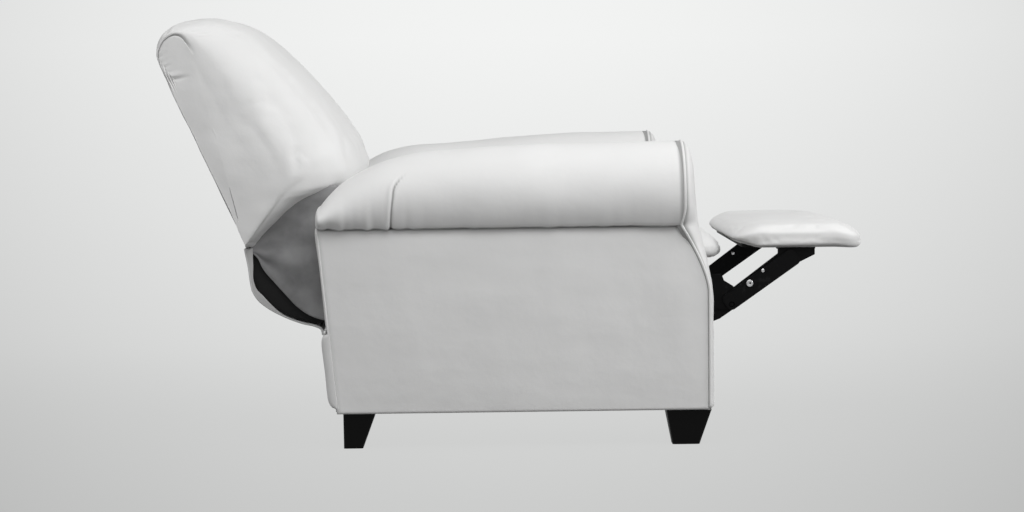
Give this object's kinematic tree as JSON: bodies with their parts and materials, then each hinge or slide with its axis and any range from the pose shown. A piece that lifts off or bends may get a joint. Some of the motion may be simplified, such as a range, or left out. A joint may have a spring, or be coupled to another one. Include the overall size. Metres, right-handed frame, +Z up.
{
  "type": "reclining loveseat",
  "caption": "White leather push-back reclining loveseat with rolled arms, leaning padded back and lift-out footrest on black link mechanisms.",
  "frame": {"origin": "centre of the reclined footprint, on the floor", "axes": "+X forward to the footrest, +Y across to the sitter's left arm, +Z up"},
  "size_m": [1.591, 1.21, 0.9355],
  "materials": {
    "white_leather": "satin",
    "white_padding": "satin",
    "grey_lining": "matte",
    "black_cloth": "matte",
    "black_steel": "satin",
    "spring_steel": "satin",
    "steel": "satin",
    "black_wood": "satin",
    "frame_wood": "matte"
  },
  "bodies": {
    "base": {"arm_panel_outer_right": "white_leather", "arm_panel_outer_left": "white_leather", "arm_panel_inner_right": "white_leather", "arm_panel_inner_left": "white_leather", "arm_front_right": "white_leather", "arm_front_left": "white_leather", "arm_roll_right": "white_padding", "arm_roll_left": "white_padding", "arm_scroll_right": "white_padding", "arm_scroll_left": "white_padding", "arm_post_front_right": "frame_wood", "arm_post_front_left": "frame_wood", "arm_post_rear_right": "frame_wood", "arm_post_rear_left": "frame_wood", "side_rail_right": "frame_wood", "side_rail_left": "frame_wood", "front_rail": "frame_wood", "rear_rail": "frame_wood", "rear_panel": "white_leather", "dust_cover": "black_cloth", "leg_front_right": "black_wood", "leg_front_left": "black_wood", "leg_rear_right": "black_wood", "leg_rear_left": "black_wood", "leg_bolts": "steel", "mech_plate_right": "black_steel", "mech_plate_left": "black_steel"},
    "seat": {"seat_rail_right": "frame_wood", "seat_rail_left": "frame_wood", "seat_front_rail": "frame_wood", "seat_rear_rail": "frame_wood", "seat_springs": "spring_steel", "seat_cushion": "white_padding", "seat_hinge_right": "black_steel", "seat_hinge_left": "black_steel"},
    "back": {"back_post_right": "frame_wood", "back_post_left": "frame_wood", "back_top_rail": "frame_wood", "back_bottom_rail": "frame_wood", "back_straps": "black_cloth", "back_pillow": "white_padding", "back_lumbar": "grey_lining", "outside_back": "white_leather", "back_flap": "white_leather", "back_hinge_right": "black_steel", "back_hinge_left": "black_steel"},
    "swing": {"swing_link_right": "black_steel", "swing_link_left": "black_steel", "torque_tube": "black_steel"},
    "guide": {"guide_link_right": "black_steel", "guide_link_left": "black_steel"},
    "lift": {"lift_link_right": "black_steel", "lift_link_left": "black_steel"},
    "tilt": {"tilt_link_right": "black_steel", "tilt_link_left": "black_steel"},
    "footrest": {"footrest_bracket_right": "black_steel", "footrest_bracket_left": "black_steel", "footrest_board": "frame_wood", "footrest_pad": "white_padding"}
  },
  "joints": [
    {"name": "back_recline", "type": "hinge", "parent": "seat", "child": "back", "pos_m": [-0.32452, 0, 0.33], "axis": [0, 1, 0], "range_deg": [0, 19]},
    {"name": "seat_glide", "type": "slide", "parent": "base", "child": "seat", "axis": [1, 0, 0], "range_m": [-0.04, 0]},
    {"name": "footrest_swing", "type": "hinge", "parent": "base", "child": "swing", "pos_m": [0.30043, 0, 0.30551], "axis": [0, 1, 0], "range_deg": [0, 110]},
    {"name": "footrest_guide", "type": "hinge", "parent": "base", "child": "guide", "pos_m": [0.23043, 0, 0.26552], "axis": [0, 1, 0], "range_deg": [0, 110]},
    {"name": "footrest_lift", "type": "hinge", "parent": "swing", "child": "lift", "pos_m": [0.45348, 0, 0.281], "axis": [0, 1, 0], "range_deg": [-110, 0]},
    {"name": "footrest_tilt", "type": "hinge", "parent": "lift", "child": "footrest", "pos_m": [0.59048, 0, 0.384], "axis": [0, 1, 0], "range_deg": [0, 90]},
    {"name": "tilt_link_turn", "type": "hinge", "parent": "footrest", "child": "tilt", "pos_m": [0.61765, 0, 0.37723], "axis": [0, 1, 0], "range_deg": [-90, 0]}
  ],
  "couplings": [
    {"joint": "seat_glide", "follows": "back_recline", "m_per_rad": -0.1206},
    {"joint": "footrest_swing", "follows": "back_recline", "ratio": 5.789},
    {"joint": "footrest_guide", "follows": "back_recline", "ratio": 5.789},
    {"joint": "footrest_lift", "follows": "back_recline", "ratio": -5.789},
    {"joint": "footrest_tilt", "follows": "back_recline", "ratio": 4.736},
    {"joint": "tilt_link_turn", "follows": "back_recline", "ratio": -4.7368}
  ]
}
